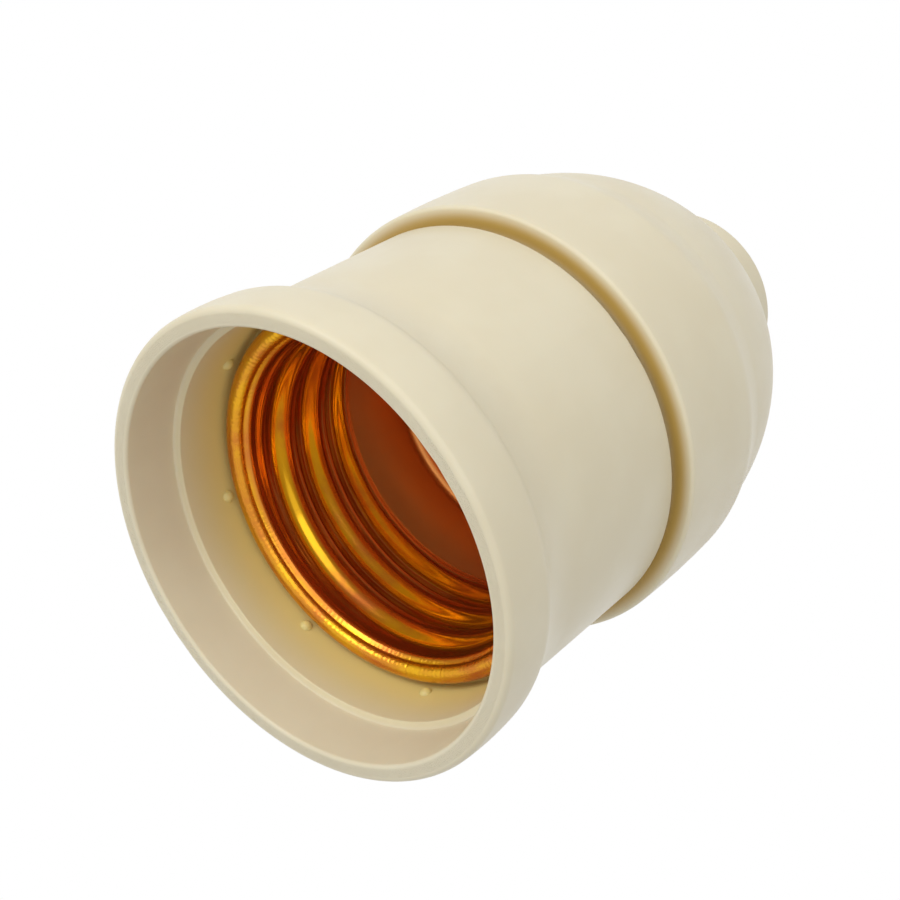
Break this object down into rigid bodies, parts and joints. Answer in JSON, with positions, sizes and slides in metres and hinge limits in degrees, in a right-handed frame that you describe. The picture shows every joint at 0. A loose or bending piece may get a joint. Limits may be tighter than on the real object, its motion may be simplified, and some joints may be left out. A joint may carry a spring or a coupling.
{
  "type": "pendant lamp socket",
  "caption": "Ivory moulded pendant socket for a round-thread lamp: brass screw shell in a skirt, screw-on domed cap.",
  "frame": {"origin": "centre of the mouth, in the plane of the rim that the socket stands on", "axes": "+Z along the socket's axis, from the mouth to the neck that the cord enters by; the picture looks at the -Y side from below"},
  "size_m": [0.0364, 0.0364, 0.0556],
  "materials": {
    "moulding": "satin moulded ivory",
    "shell_brass": "rolled, bright",
    "spring_brass": "stamped",
    "terminal_brass": "stamped",
    "plated_steel": "zinc plated",
    "porcelain": "glazed white",
    "bush": "moulded"
  },
  "bodies": {
    "holder": {"skirt": "moulding", "screw_shell": "shell_brass", "contact_base": "porcelain", "centre_leaf": "spring_brass", "side_contact": "spring_brass", "live_rivet": "terminal_brass", "neutral_rivet": "terminal_brass", "live_terminal": "terminal_brass", "neutral_terminal": "terminal_brass", "live_washer": "plated_steel", "neutral_washer": "plated_steel", "live_screw": "plated_steel", "neutral_screw": "plated_steel"},
    "bush": {"cord_bush": "bush"},
    "cap": {"cap": "moulding"},
    "centre_contact": {"contact_tip": "spring_brass"}
  },
  "joints": [
    {"name": "cap_lift", "type": "slide", "parent": "holder", "child": "bush", "axis": [0, 0, 1], "range_m": [0, 0.00625]},
    {"name": "cap_turn", "type": "hinge", "parent": "bush", "child": "cap", "pos_m": [0, 0, 0.0235], "axis": [0, 0, 1], "range_deg": [0, 900]},
    {"name": "contact_press", "type": "slide", "parent": "holder", "child": "centre_contact", "axis": [0, 0, 1], "range_m": [0, 0.0015], "stiffness_N_per_m": 1500, "springref_m": -0.0005, "deforming": ["centre_leaf"]}
  ],
  "couplings": [
    {"joint": "cap_lift", "follows": "cap_turn", "m_per_rad": 0.00039789}
  ]
}
